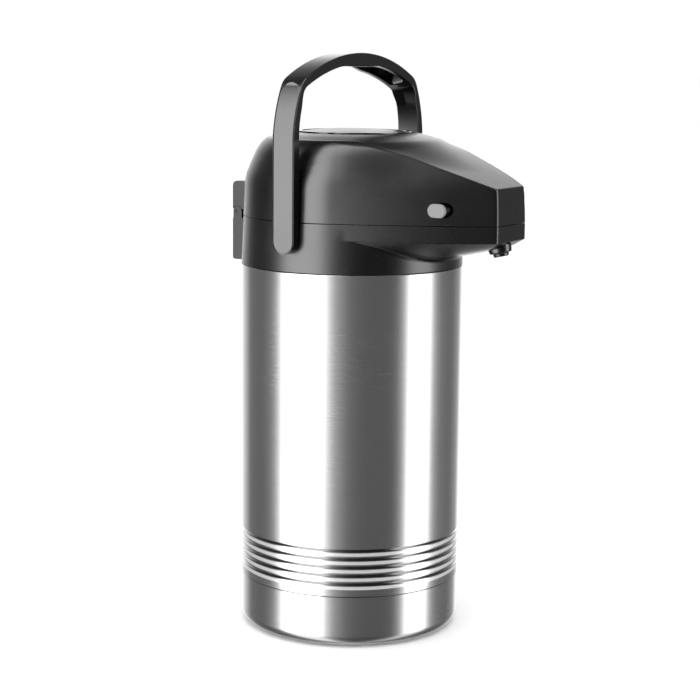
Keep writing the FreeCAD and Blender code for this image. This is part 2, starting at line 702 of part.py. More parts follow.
def bellows():
    """Pleated pump bellows, closed at the top, open to the plate's air port below."""
    pitch = (BELLOWS_TOP - BELLOWS_BOTTOM - 4) / BELLOWS_PLEATS
    base = BELLOWS_BOTTOM + 2
    outside = []
    inside = []
    for index in range(BELLOWS_PLEATS):
        z = base + index * pitch
        outside += [(BELLOWS_VALLEY_R, z), (BELLOWS_R, z + pitch / 2)]
        inside += [(BELLOWS_VALLEY_R - BELLOWS_WALL, z), (BELLOWS_R - BELLOWS_WALL, z + pitch / 2)]
    outside.append((BELLOWS_VALLEY_R, base + BELLOWS_PLEATS * pitch))
    inside.append((BELLOWS_VALLEY_R - BELLOWS_WALL, base + BELLOWS_PLEATS * pitch))
    return spun(
        (10.0, BELLOWS_BOTTOM), (BELLOWS_VALLEY_R, BELLOWS_BOTTOM), *outside,
        (BELLOWS_VALLEY_R, BELLOWS_TOP), (0.0, BELLOWS_TOP), (0.0, BELLOWS_TOP - 1.5),
        *reversed(inside), (BELLOWS_VALLEY_R - BELLOWS_WALL, BELLOWS_BOTTOM + BELLOWS_WALL),
        (10.0, BELLOWS_BOTTOM + BELLOWS_WALL),
    )


def return_spring():
    """Compression coil inside the bellows that lifts the pump button again."""
    low = BELLOWS_BOTTOM + BELLOWS_WALL + 1.2
    height = BELLOWS_TOP - 1.5 - 1.2 - low
    pitch = height / SPRING_TURNS
    helix = Part.makeHelix(pitch, height, SPRING_R)
    helix.translate(Vector(0, 0, low))
    lead = math.atan(pitch / (2 * math.pi * SPRING_R))
    upward = Vector(0, -math.sin(lead), math.cos(lead))
    corners = []
    for index in range(SPRING_WIRE_SIDES + 1):
        across, along = on_circle(SPRING_WIRE_R, index * 360 / SPRING_WIRE_SIDES)
        corners.append(Vector(SPRING_R + across, 0, low) + upward * along)
    section = Part.makePolygon(corners)
    return Part.Wire(helix.Edges).makePipeShell([section], True, True)


def press_surround():
    """Thin raised ring in the roof that guides the pump button."""
    inner = PRESS_R + RUN
    return spun(
        (inner, 372.0), (SURROUND_R - 0.1, 372.0), (SURROUND_R - 0.1, CROWN_TOP), (44.6, CROWN_TOP),
        (44.6, 386.5), arc((44.1, 386.5), 0.5, 0, 90), (inner + 0.5, 387.0),
        arc((inner + 0.5, 386.5), 0.5, 90, 180),
    )


def press_plate():
    """Domed pump button with a guide skirt and a boss that stands on the bellows."""
    sag = PRESS_TOP - PRESS_EDGE
    dome_r = (PRESS_R ** 2 + sag ** 2) / (2 * sag)
    half_r = PRESS_R / 2
    middle = (half_r, PRESS_TOP - dome_r + math.sqrt(dome_r ** 2 - half_r ** 2))
    low = PRESS_EDGE - PRESS_SKIRT
    plate = spun(
        (0.0, PRESS_TOP), (middle, (PRESS_R, PRESS_EDGE)), (PRESS_R, low), (PRESS_R - 2, low),
        (PRESS_R - 2, PRESS_EDGE - 2.5), (0.0, PRESS_EDGE - 2.5),
    )
    boss = ring(5.0, 8.0, BELLOWS_TOP + 0.3, PRESS_EDGE - 2)
    return joined([plate, boss])


def catch_tongues(grow):
    """The catch's two snap tongues, or with some growth the slots they pass through."""
    face = -(BEAK_REACH - SHELL)
    tongues = []
    for side in (-1, 1):
        left, right = sorted((side * CATCH_TONGUE[0], side * CATCH_TONGUE[1]))
        tongues.append(block((left - grow, face + 0.5 - grow, CATCH_FOOT),
                             (right + grow, face + 2.5 + grow, CATCH_TOP)))
    return tongues


def lid_catch():
    """Pair of snap tongues inside the beak that hold the lid down on the collar's front wall."""
    face = -(BEAK_REACH - SHELL)
    reach = CATCH_TONGUE[1] + 1
    bar = block((-reach, face, PLATE_TOP + 0.3), (reach, face + 2.5, CATCH_TOP))
    return joined([bar] + catch_tongues(0.0)).cut(lid_walls())


# ---- lock bolt ----
def lock_bolt():
    start = BOLT_OUT_X + CAP_THICK
    end = BOLT_IN_X - CAP_THICK
    return oval_x(BOLT_SIZE, start, end, BOLT_Y, BOLT_Z)


def bolt_caps():
    near = oval_x(CAP_SIZE, BOLT_OUT_X, BOLT_OUT_X + CAP_THICK, BOLT_Y, BOLT_Z)
    far = oval_x(CAP_SIZE, BOLT_IN_X - CAP_THICK, BOLT_IN_X, BOLT_Y, BOLT_Z)
    return Part.makeCompound([near, far])


# ---- carrying handle ----
def bail_band(outer_offset, inner_offset, grip_drop, width):
    """Band in the XZ plane between two lines that follow the bail, as wide as given along Y.

    Each line runs up the arm, leans in above the straight part, turns at the shoulder and
    arches over the middle.
    """
    def line(offset, drop):
        side = ARM_X - offset
        lean_x = ARM_SHOULDER[0] - 0.6 * offset
        lean_z = ARM_SHOULDER[1] - 0.7 * drop
        mid = ((side + lean_x) / 2 + ARM_BULGE, (ARM_STRAIGHT_TOP + lean_z) / 2)
        return (side, PIVOT_Z), (side, ARM_STRAIGHT_TOP), mid, (lean_x, lean_z), (0.0, GRIP_TOP - drop)

    def mirror(p):
        return (-p[0], p[1])
    o_low, o_straight, o_mid, o_lean, o_top = line(outer_offset, outer_offset)
    i_low, i_straight, i_mid, i_lean, i_top = line(inner_offset, grip_drop)
    steps = [
        o_straight, (o_mid, o_lean), (o_top, mirror(o_lean)), (mirror(o_mid), mirror(o_straight)),
        mirror(o_low), mirror(i_low), mirror(i_straight), (mirror(i_mid), mirror(i_lean)),
        (i_top, i_lean), (i_mid, i_straight), i_low,
    ]
    outline = wire_of(lambda p: Vector(p[0], PIVOT_Y - width / 2, p[1]), o_low, steps)
    return Part.Face(outline).extrude(Vector(0, width, 0))


def inlay_window(grow):
    """Prism along X with rounded ends, in which an arm's inlay lies."""
    radius = INLAY_WIDTH / 2 + grow
    low = block((-120, PIVOT_Y - radius, PIVOT_Z), (120, PIVOT_Y + radius, INLAY_TOP))
    return joined([low, rod_x(radius, -120, 120, PIVOT_Y, PIVOT_Z),
                   rod_x(radius, -120, 120, PIVOT_Y, INLAY_TOP)])


def arm_eyes(start, end, radius):
    """Round lower ends of both arms."""
    right = rod_x(radius, start, end, PIVOT_Y, PIVOT_Z)
    return [right, right.mirror(Vector(0, 0, 0), Vector(1, 0, 0))]


def handle_bail():
    """One moulding: two arms and the arched grip, hollow on its underside."""
    band = bail_band(0.0, ARM_THICK, GRIP_THICK, ARM_WIDTH)
    channel = bail_band(3.0, ARM_THICK + 5, GRIP_THICK + 5, ARM_WIDTH - 6)
    channel = channel.common(block((-66, -20, 400), (66, 30, 450)))
    bail = joined([band] + arm_eyes(ARM_X - ARM_THICK, ARM_X, ARM_WIDTH / 2))
    bail = bail.cut(channel)
    skin = bail_band(-1.0, INLAY_THICK, INLAY_THICK, ARM_WIDTH)
    skin = joined([skin] + arm_eyes(ARM_X - INLAY_THICK, ARM_X + 1, ARM_WIDTH / 2))
    bail = bail.cut(skin.common(inlay_window(0.15)))
    for side in (-1, 1):
        for radius, near, far in ((STUD_R + RUNNING_FIT, 84.0, 91.0), (STUD_FLANGE_R + 0.5, 90.0, 95.0)):
            start, end = sorted((side * near, side * far))
            bail = bail.cut(rod_x(radius, start, end, PIVOT_Y, PIVOT_Z))
    return bail


def arm_inlays():
    skin = bail_band(0.0, INLAY_THICK, INLAY_THICK, ARM_WIDTH)
    skin = joined([skin] + arm_eyes(ARM_X - INLAY_THICK, ARM_X, ARM_WIDTH / 2))
    plates = skin.common(inlay_window(0.0))
    return Part.makeCompound(plates.Solids)


NODES = [
    foot_pad, swivel_base, swivel_stud, bottom_cover, cover_screws, bottom_band,
    liner_support, liner_cushion, tip_guard, glass_liner, steel_casing, neck_seal,
    collar, collar_hinge_block, hinge_pin, pivot_studs, pivot_screws,
    dip_tube, tube_joint, spout_tube, pour_nozzle,
    lid_shell, lid_hinge_block, lid_inner_plate, plate_screws, lid_seal, air_valve,
    bellows, return_spring, press_surround, press_plate, lid_catch,
    lock_bolt, bolt_caps, handle_bail, arm_inlays,
]

os.makedirs("parts", exist_ok=True)
for make in NODES:
    shape = make()
    name = make.__name__
    shape.exportStep(os.path.join("parts", name + ".step"))
    box = shape.BoundBox
    print("%-20s solids %d valid %s volume %.0f  x %.1f..%.1f y %.1f..%.1f z %.1f..%.1f" % (
        name, len(shape.Solids), shape.isValid(), shape.Volume,
        box.XMin, box.XMax, box.YMin, box.YMax, box.ZMin, box.ZMax))
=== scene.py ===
import json
import math

import bmesh
import bpy
import numpy as np
from mathutils import Matrix, Vector


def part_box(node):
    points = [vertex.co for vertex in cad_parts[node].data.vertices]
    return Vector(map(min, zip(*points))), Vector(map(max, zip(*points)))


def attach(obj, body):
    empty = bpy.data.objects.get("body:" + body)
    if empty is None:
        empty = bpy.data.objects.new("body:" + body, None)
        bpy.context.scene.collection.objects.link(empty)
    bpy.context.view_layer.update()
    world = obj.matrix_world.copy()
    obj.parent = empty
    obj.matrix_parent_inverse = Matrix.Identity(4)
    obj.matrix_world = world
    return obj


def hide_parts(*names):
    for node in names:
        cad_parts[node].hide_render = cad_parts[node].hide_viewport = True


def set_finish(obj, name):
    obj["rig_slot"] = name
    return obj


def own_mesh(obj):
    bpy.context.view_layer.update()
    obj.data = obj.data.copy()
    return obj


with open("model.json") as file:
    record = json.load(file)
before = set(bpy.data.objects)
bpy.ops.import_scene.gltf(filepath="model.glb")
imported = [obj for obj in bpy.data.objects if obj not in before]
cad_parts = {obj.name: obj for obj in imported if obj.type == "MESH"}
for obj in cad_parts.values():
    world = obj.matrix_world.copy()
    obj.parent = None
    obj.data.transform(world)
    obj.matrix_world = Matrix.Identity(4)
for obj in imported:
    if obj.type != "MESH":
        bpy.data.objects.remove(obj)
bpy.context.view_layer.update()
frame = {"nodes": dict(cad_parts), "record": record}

# The looks of a pump-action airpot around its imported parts.
# Shapes are written in millimetres, +Z up, spout along -Y; add_piece turns them into metres.

MM = 0.001
scene = bpy.context.scene


def span(node):
    """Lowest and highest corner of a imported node, in millimetres."""
    low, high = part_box(node)
    return low / MM, high / MM


# ---- driving sizes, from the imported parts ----
casing_low, casing_high = span("steel_casing")
band_low, band_high = span("bottom_band")
collar_low, collar_high = span("collar")
lid_low, lid_high = span("lid_shell")
press_low, press_high = span("press_plate")
ring_low, ring_high = span("press_surround")
bolt_low, bolt_high = span("lock_bolt")
caps_low, caps_high = span("bolt_caps")
bail_low, bail_high = span("handle_bail")

CASING_R = 86.0
CASING_WALL = 0.7
GROOVES = 5
GROOVE_FIRST_Z = 48.9
GROOVE_PITCH = 6.5
GROOVE_DEPTH = 0.8
GROOVE_HALF = 0.48 * GROOVE_PITCH
BAND_SEAM_Z = 40.3
BAND_R = band_high.y
BAND_CORNER = 13.0
BAND_TOP = 40.1
BAND_WALL = 0.8
BAND_OPENING_R = 66.0
HEAD_R = lid_high.y
COLLAR_FOOT_R = 86.0
COLLAR_FOOT = 284.9
COLLAR_TOP = collar_high.z
LID_BOTTOM = lid_low.z
SHELL = 2.5
BEAK_REACH = -lid_low.y
SIDE_BOW = math.radians(6.9)  # how much later than a straight line the beak's sides leave the body
TIP_HALF = 22.45  # half of the front face's width
TIP_ROUNDING = 2.0
STRIP_BOTTOM = 309.9
DECK_TOP = 310.5
DECK_BOTTOM = 308.0
CHIMNEY_R = 34.0
CHIMNEY_TOP = 321.0
NECK_HOLE_R = 28.0
BELLY_SLOPE = 0.24
BELLY_FULLNESS = 3.0  # how square the underside is: it curls up near the side walls
BELLY_START = (-85.0, 293.0)
BELLY_FRONT = (-131.0, 303.0)
BELLY_INSET = 0.5
ROOF_Z = 381.0
ROOF_FRONT_Z = 348.4
ROOF_RISE = 0.42  # slope at the beak's tip, easing off towards the body
ROOF_EASE = 0.00094
ROOF_BULGE = 0.5  # how much higher the beak's roof is in its middle than at its edges
ROOF_SPREAD = 0.36  # how fast the roof widens from the tip
CROWN_R = 67.0
CROWN_TOP_R = 45.0
CROWN_TOP = 386.0
CROWN_CURVE = 1.35
CROWN_DROP = 4.5  # extra fall of the crown past its edge, where the beak's roof takes over
SURROUND_R = 42.6
SURROUND_OUTER_R = 44.6
SURROUND_BOTTOM = 372.0
PRESS_DOME = 2.2
STEM_BOTTOM = 376.3
BOLT_Y = (caps_low.y + caps_high.y) / 2
BOLT_Z = (caps_low.z + caps_high.z) / 2
BOLT_SIZE = (12.6, 8.4)
BOLT_CAP_SIZE = (15.0, 10.3)
BOLT_CAP_LENGTH = 2.5
BOLT_HOLE = (15.8, 11.1)
NOZZLE_PLACE = (0.0, -129.0, 303.6)
PIVOT_Y = 1.8
PIVOT_Z = 308.0

# wall of the lid: how far it stands in from the seam outline at each height
LID_WALL = ((322.1, 0.0), (337.0, 0.6), (349.0, 1.3), (354.0, 2.4), (360.0, 4.7),
            (367.5, 8.0), (373.5, 11.0), (379.1, 15.3), (384.0, 21.5), (392.0, 34.0))
# the same along the beak, whose walls lean in more under the roof
BEAK_WALL = ((322.1, 0.0), (337.0, 0.6), (349.0, 2.2), (354.0, 5.2), (360.0, 9.0),
             (367.5, 12.4), (373.5, 14.4), (379.1, 16.8), (384.0, 21.5), (392.0, 34.0))


# ---- shape helpers ----
def smooth_min(a, b, reach):
    """The smaller of two values, with the corner between them rounded."""
    share = np.clip(0.5 + 0.5 * (b - a) / reach, 0.0, 1.0)
    return b * (1 - share) + a * share - reach * share * (1 - share)


def smooth_max(a, b, reach):
    return -smooth_min(-a, -b, reach)


def smooth_step(value, start, end):
    share = np.clip((value - start) / (end - start), 0.0, 1.0)
    return share * share * (3 - 2 * share)


def resample(line, start, end, count):
    """Points evenly spaced along a polyline between two lengths, both ends included."""
    steps = np.linalg.norm(np.diff(line, axis=0), axis=1)
    lengths = np.concatenate([[0.0], np.cumsum(steps)])
    wanted = np.linspace(start, max(lengths[-1] - end, start), count)
    return np.stack([np.interp(wanted, lengths, line[:, k]) for k in range(line.shape[1])], axis=1)


def length_of(line):
    return float(np.linalg.norm(np.diff(line, axis=0), axis=1).sum())


def rounded_joint(before, corner, after, count):
    """Arc between two points whose tangents meet in the corner."""
    a, b = before - corner, after - corner
    sizes = np.linalg.norm(a) * np.linalg.norm(b)
    cosine = float(a @ b) / sizes if sizes > 1e-12 else -1.0
    weight = math.sqrt(max(0.0, (1 - cosine) / 2))
    t = np.linspace(0.0, 1.0, count)[:, None]
    top = (1 - t) ** 2 * before + 2 * t * (1 - t) * weight * corner + t ** 2 * after
    return top / ((1 - t) ** 2 + 2 * t * (1 - t) * weight + t ** 2)


def loop_points(segments, fillets, counts, arc_steps=5):
    """Closed loop of segments; fillets[k] rounds the joint where segment k starts."""
    total = len(segments)
    cuts = []
    for k in range(total):
        room = 0.45 * min(length_of(segments[k - 1]), length_of(segments[k]))
        cuts.append(min(fillets[k], room))
    trimmed = []
    for k in range(total):
        after = cuts[(k + 1) % total]
        trimmed.append(resample(segments[k], cuts[k], after, counts[k] + 2))
    points = []
    for k in range(total):
        corner = segments[k][0]
        if fillets[k] > 0:
            points.append(rounded_joint(trimmed[k - 1][-1], corner, trimmed[k][0], arc_steps))
        else:
            points.append(trimmed[k][:1])
        points.append(trimmed[k][1:-1])
    return np.concatenate(points)


def corner_loop(corners, counts=None, arc_steps=5):
    """Closed loop through corners (x, y, fillet) with straight sides."""
    points = [np.array(c[:2], float) for c in corners]
    total = len(points)
    segments = [np.array([points[k], points[(k + 1) % total]]) for k in range(total)]
    return loop_points(segments, [c[2] for c in corners], counts or [0] * total, arc_steps)


def skin(rings, around=True, caps=False):
    """Vertices and quads between rings of equal length; each ring is closed."""
    rings = np.asarray(rings, float)
    rows, columns = rings.shape[:2]
    faces = []
    for i in range(rows if around else rows - 1):
        j = (i + 1) % rows
        for k in range(columns):
            m = (k + 1) % columns
            faces.append((i * columns + k, i * columns + m, j * columns + m, j * columns + k))
    if caps:
        faces.append(tuple(range(columns)))
        faces.append(tuple((rows - 1) * columns + k for k in reversed(range(columns))))
    return rings.reshape(-1, 3), faces


def turned(profile, steps=160, place=None):
    """Surface of revolution about Z from a closed profile of (radius, height)."""
    rings = []
    for angle in np.linspace(0, 2 * math.pi, steps, endpoint=False):
        rings.append([(r * math.sin(angle), -r * math.cos(angle), z) for r, z in profile])
    points, faces = skin(rings)
    if place is not None:
        points = np.array([place @ Vector(p) for p in points])
    return points, faces


def add_piece(name, shape, body, slot, replaced, sharp=32.0):
    """New mesh piece in the scene, closed, shaded smooth, riding on a body."""
    points, faces = shape
    mesh = bpy.data.meshes.new(name)
    mesh.from_pydata([tuple(p * MM) for p in points], [], faces)
    tidy = bmesh.new()
    tidy.from_mesh(mesh)
    bmesh.ops.remove_doubles(tidy, verts=tidy.verts, dist=2e-6)
    bmesh.ops.dissolve_degenerate(tidy, edges=tidy.edges, dist=1e-7)
    bmesh.ops.recalc_face_normals(tidy, faces=tidy.faces)
    tidy.to_mesh(mesh)
    tidy.free()
    piece = bpy.data.objects.new(name, mesh)
    scene.collection.objects.link(piece)
    shade(piece, sharp)
    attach(piece, body)
    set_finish(piece, slot)
    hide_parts(*replaced)
    return piece


def shade(piece, sharp):
    """Smooth shading that leaves wide faces flat next to their narrow rounded edges."""
    piece.data.shade_smooth()
    piece.data.set_sharp_from_angle(angle=math.radians(sharp))
    level = piece.modifiers.new("level", "WEIGHTED_NORMAL")
    level.keep_sharp = True


# ---- head: shared plan and roof ----
def plan_radius(angle, inset, tip_inset=None):
    """Distance from the axis to the head's outline; the angle is measured from the spout.

    The body is a circle. The beak's sides bow gently from it to the corners of the tip.
    """
    if tip_inset is None:
        tip_inset = inset
    away = np.abs(angle)
    body = HEAD_R - inset
    half, reach = TIP_HALF - 0.6 * tip_inset, BEAK_REACH - tip_inset
    straight_start = np.arctan2(half, reach) + np.arccos(body / np.hypot(half, reach))
    start = straight_start + SIDE_BOW * np.clip(1 - inset / 14.0, 0.08, 1.0)
    along = half * np.sin(start) + reach * np.cos(start)
    bow = (half ** 2 + reach ** 2 - 2 * body * along + body ** 2) / (2 * (body - along))
    behind = (bow - body) * np.cos(start - away)
    side = np.sqrt(behind ** 2 - (bow - body) ** 2 + bow ** 2) - behind
    front = reach / np.cos(np.clip(away, 0.0, 1.2))
    return np.where(away > start, body, smooth_min(side, front, TIP_ROUNDING))


def column_angles():
    """Directions of the head's columns: close together round the beak's corners."""
    fine = np.linspace(0.0, math.pi, 6001)
    radius = plan_radius(fine, 0.0)
    line = np.stack([radius * np.sin(fine), -radius * np.cos(fine)], axis=1)
    steps = np.linalg.norm(np.diff(line, axis=0), axis=1)
    corner = np.argmin(np.abs(line[:, 1] + BEAK_REACH - 0.5))
    travel = np.concatenate([[0.0], np.cumsum(steps)])
    spacing = np.where(fine > 1.2, 2.4, 1.8)
    spacing = np.minimum(spacing, 0.35 + 0.25 * np.abs(travel - travel[corner]))
    density = np.concatenate([[0.0], np.cumsum(steps / spacing[1:])])
    half = np.interp(np.linspace(0, density[-1], int(density[-1]) + 1), density, fine)
    return np.concatenate([-half[:0:-1], half[:-1]])


ANGLES = column_angles()


def in_space(angle, line):
    """A (radius, height) line of the column at that angle, as 3-D points."""
    return np.stack([line[:, 0] * math.sin(angle), -line[:, 0] * math.cos(angle), line[:, 1]], axis=1)


def table_value(table, height):
    """Smooth curve through a table of (height, inset)."""
    heights = np.array([h for h, _ in table])
    insets = np.array([i for _, i in table])
    slopes = np.gradient(insets, heights)
    k = np.clip(np.searchsorted(heights, height) - 1, 0, len(heights) - 2)
    width = heights[k + 1] - heights[k]
    t = np.clip((height - heights[k]) / width, 0.0, 1.0)
    return ((2 * t**3 - 3 * t**2 + 1) * insets[k] + (t**3 - 2 * t**2 + t) * width * slopes[k]
            + (3 * t**2 - 2 * t**3) * insets[k + 1] + (t**3 - t**2) * width * slopes[k + 1])


def wall_inset(angle, height):
    """How far the lid's wall stands in at a height, on the beak or on the body."""
    share = float(smooth_step(abs(angle), 0.35, 1.15))
    return table_value(BEAK_WALL, height) * (1 - share) + table_value(LID_WALL, height) * share


def roof_height(x, y):
    """The top of the head: level over the body with a raised crown, easing down along the beak."""
    along = y + BEAK_REACH
    slope = ROOF_FRONT_Z + ROOF_RISE * along - ROOF_EASE * along ** 2
    roof = smooth_min(slope, np.full_like(y, ROOF_Z), 2.0)
    half_width = TIP_HALF + along * ROOF_SPREAD
    across = np.clip(1 - (x / np.maximum(half_width, 10.0)) ** 2, 0.0, 1.0)
    roof = roof + ROOF_BULGE * across * smooth_step(along, 0.0, 45.0) * smooth_step(-y, 30.0, 62.0)
    radius = np.hypot(x, y)
    fall = np.clip(radius - CROWN_TOP_R, 0.0, None) / (CROWN_R - CROWN_TOP_R)
    past_edge = np.clip(fall - 1.0, 0.0, None)
    crown = CROWN_TOP - (CROWN_TOP - ROOF_Z) * fall ** CROWN_CURVE - CROWN_DROP * past_edge ** 1.2
    return smooth_max(roof, crown, 1.6 + 5.0 * smooth_step(-y, 55.0, 80.0))


def lid_lines(angle, inset, drop):
    """Wall from the lid's lower edge to the crease, and roof from there to the round opening."""
    heights = np.linspace(LID_BOTTOM, 392.0, 240)
    leaning = wall_inset(angle, heights + drop)
    radius = plan_radius(angle, inset + leaning, inset + np.minimum(leaning, 1.3))
    x, y = radius * math.sin(angle), -radius * math.cos(angle)
    above = heights - (roof_height(x, y) - drop)
    k = int(np.argmax(above > 0))
    share = -above[k - 1] / (above[k] - above[k - 1])
    crease = (radius[k - 1] + share * (radius[k] - radius[k - 1]),
              heights[k - 1] + share * (heights[k] - heights[k - 1]))
    wall = np.stack([np.append(radius[:k], crease[0]), np.append(heights[:k], crease[1])], axis=1)
    inward = np.linspace(crease[0], SURROUND_R, 60)
    top = roof_height(inward * math.sin(angle), -inward * math.cos(angle)) - drop
    return wall, np.stack([inward, top], axis=1)


def straight(*points):
    return np.array(points, float)


def lid_form():
    """Lid shell: outer wall and roof, the round opening, and the same faces inside."""
    rings = []
    for angle in ANGLES:
        wall, roof = lid_lines(angle, 0.0, 0.0)
        inner_wall, inner_roof = lid_lines(angle, SHELL, SHELL)
        softness = 1.4 + 3.2 * math.exp(-((abs(angle) - 0.95) / 0.22) ** 2)
        segments = [
            wall, roof, straight(roof[-1], inner_roof[-1]), inner_roof[::-1], inner_wall[::-1],
            straight(inner_wall[0], wall[0]),
        ]
        loop = loop_points(segments, [0.3, softness, 0.5, 0.0, 1.0, 0.3], [30, 34, 1, 10, 12, 1], 6)
        rings.append(in_space(angle, loop))
    return skin(rings)


# ---- collar ----
def half_width_at(y):
    """Half of the beak's width at a distance along it."""
    angles = np.linspace(0.1, 1.5, 400)
    radius = plan_radius(angles, 0.0)
    return np.interp(-y, radius[::-1] * np.cos(angles[::-1]), radius[::-1] * np.sin(angles[::-1]))


def belly_height(x, y):
    """Underside of the beak: full, curling up to the side walls and rising towards the nozzle."""
    lowest = BELLY_START[1] - (y - BELLY_START[0]) * BELLY_SLOPE
    share = np.clip(np.abs(x) / half_width_at(y), 0.0, 1.0)
    height = lowest + (STRIP_BOTTOM - lowest) * share ** BELLY_FULLNESS
    run = (STRIP_BOTTOM - BELLY_FRONT[1]) / (BELLY_FRONT[0] + BEAK_REACH - BELLY_INSET)
    front = BELLY_FRONT[1] + (BELLY_FRONT[0] - y) * run
    height = smooth_max(height, front, 1.5)
    return smooth_min(height, np.full_like(y, STRIP_BOTTOM - 0.05), 1.2)


def collar_wall_radius(height):
    share = (height - COLLAR_FOOT) / (COLLAR_TOP - COLLAR_FOOT)
    return COLLAR_FOOT_R + (HEAD_R - COLLAR_FOOT_R) * share


def collar_form():
    rings = []
    for angle in ANGLES:
        edge = float(plan_radius(angle, 0.0))
        inner_edge = float(plan_radius(angle, SHELL))
        side = math.sin(angle), -math.cos(angle)
        strip_r = max(edge, float(collar_wall_radius(STRIP_BOTTOM)))
        duct_r = min(float(plan_radius(angle, BELLY_INSET)), strip_r)
        start_r = float(collar_wall_radius(300.0))
        reach = np.linspace(start_r, max(duct_r, start_r + 0.001), 24)
        under = belly_height(reach * side[0], reach * side[1])
        if duct_r <= start_r + 0.3:
            under = np.full_like(under, STRIP_BOTTOM - 0.05)
            reach = np.linspace(strip_r - 0.02, strip_r - 0.01, 24)
        belly = np.stack([reach, under], axis=1)
        belly[0, 0] = collar_wall_radius(under[0])
        ledge_start = (belly[-1, 0], STRIP_BOTTOM)
        floor = np.minimum(belly[::-1] + (0.0, SHELL), (1e9, DECK_TOP))
        floor[:, 0] = np.clip(floor[:, 0], 0.0, inner_edge)
        inside_r = CASING_R - SHELL - 1.0
        segments = [
            straight((COLLAR_FOOT_R, COLLAR_FOOT), belly[0]),
            belly,
            straight(belly[-1], ledge_start),
            straight(ledge_start, (strip_r, STRIP_BOTTOM)),
            straight((strip_r, STRIP_BOTTOM), (edge, COLLAR_TOP)),
            straight((edge, COLLAR_TOP), (inner_edge, COLLAR_TOP)),
            straight((inner_edge, COLLAR_TOP), (inner_edge, floor[0, 1])),
            floor,
            straight(floor[-1], (inside_r - 0.5, DECK_TOP)),
            straight((inside_r - 0.5, DECK_TOP), (CHIMNEY_R, DECK_TOP)),
            straight((CHIMNEY_R, DECK_TOP), (CHIMNEY_R, CHIMNEY_TOP)),
            straight((CHIMNEY_R, CHIMNEY_TOP), (NECK_HOLE_R, CHIMNEY_TOP)),
            straight((NECK_HOLE_R, CHIMNEY_TOP), (NECK_HOLE_R, DECK_BOTTOM)),
            straight((NECK_HOLE_R, DECK_BOTTOM), (inside_r, DECK_BOTTOM)),
            straight((inside_r, DECK_BOTTOM), (inside_r, COLLAR_FOOT)),
            straight((inside_r, COLLAR_FOOT), (COLLAR_FOOT_R, COLLAR_FOOT)),
        ]
        fillets = [0.5, 2.2, 0.3, 0.2, 0.6, 0.3, 0.3, 1.0, 0.0, 0.0, 1.0, 0.8, 0.8, 0.0, 0.5, 0.3]
        counts = [14, 16, 2, 2, 8, 1, 2, 5, 0, 6, 4, 2, 4, 6, 6, 1]
        rings.append(in_space(angle, loop_points(segments, fillets, counts)))
    return skin(rings)


# ---- steel body ----
def casing_form():
    """Rolled sleeve with rounded grooves pressed in near its foot."""
    heights = np.concatenate([
        np.linspace(GROOVE_FIRST_Z - 5, GROOVE_FIRST_Z + GROOVE_PITCH * GROOVES, 140),
        np.linspace(90.0, casing_high.z - 1, 14),
    ])
    phase = (heights - GROOVE_FIRST_Z) / GROOVE_PITCH
    nearest = np.clip(np.round(phase), 0, GROOVES - 1)
    away = np.abs(phase - nearest) * GROOVE_PITCH
    groove = 0.5 + 0.5 * np.cos(np.clip(away / GROOVE_HALF, 0.0, 1.0) * math.pi)
    outer = np.stack([CASING_R - GROOVE_DEPTH * groove, heights], axis=1)
    foot, top = casing_low.z, casing_high.z
    inner = CASING_R - CASING_WALL - GROOVE_DEPTH
    loop = np.concatenate([
        [(CASING_R - 0.35, foot), (CASING_R - 0.1, foot + 0.1), (CASING_R, foot + 0.4)], outer,
        [(CASING_R, top - 0.4), (CASING_R - 0.1, top - 0.1), (CASING_R - 0.35, top)],
        [(inner, top), (inner, foot)],
    ])
    return turned(loop, 256)


def band_form():
    """Pressed pan with a rounded lower corner and a round opening below."""
    foot, floor_top = band_low.z, band_low.z + BAND_WALL
    inner = BAND_R - BAND_WALL
    corners = [
        (BAND_OPENING_R, foot, 0.2), (BAND_R, foot, BAND_CORNER), (BAND_R, BAND_TOP, 0.5),
        (inner, BAND_TOP, 0.2), (inner, floor_top, BAND_CORNER - BAND_WALL), (BAND_OPENING_R, floor_top, 0.2),
    ]
    return turned(corner_loop(corners, [2, 6, 0, 6, 2, 0], 14), 256)


# ---- pump button and its ring ----
def press_form():
    """Domed cap with a skirt round its edge and a hollow stem under its middle."""
    radius = press_high.y
    edge = press_high.z - PRESS_DOME
    under = edge - 2.5
    low = press_low.z
    dome = []
    for share in np.linspace(0, 1, 16)[1:-1]:
        dome.append((radius * share, press_high.z - PRESS_DOME * share ** 2 * (0.7 + 0.3 * share ** 4)))
    rim = [(radius - 0.15, edge - 0.05), (radius, edge - 0.5)]
    loop = [(0.0, press_high.z)] + dome + rim + [
        (radius, low), (radius - 2, low), (radius - 2, under), (8.0, under), (8.0, STEM_BOTTOM),
        (5.0, STEM_BOTTOM), (5.0, under), (0.0, under),
    ]
    return turned(loop, 160)


def surround_form():
    """Ring that lines the lid's opening, with a lip on the crown."""
    inner, outer = press_high.y + 0.4, SURROUND_R - 0.1
    lip, top = CROWN_TOP - 0.4, ring_high.z
    corners = [
        (inner, SURROUND_BOTTOM, 0.2), (outer, SURROUND_BOTTOM, 0.2), (outer, lip, 0.0),
        (SURROUND_OUTER_R, lip, 0.15), (SURROUND_OUTER_R, top, 0.5), (inner, top, 0.5),
    ]
    return turned(corner_loop(corners), 160)


# ---- lock bolt ----
def oval(size, inset, count=10):
    """Closed (Y, Z) outline with straight top and bottom and round ends."""
    half = size[1] / 2 - inset
    centre = (size[0] - size[1]) / 2
    points = []
    for side, start in ((1, -90), (-1, 90)):
        for turn in np.linspace(start, start + 180, count):
            a = math.radians(turn)
            points.append((side * centre + half * math.cos(a), half * math.sin(a)))
    return np.array(points)


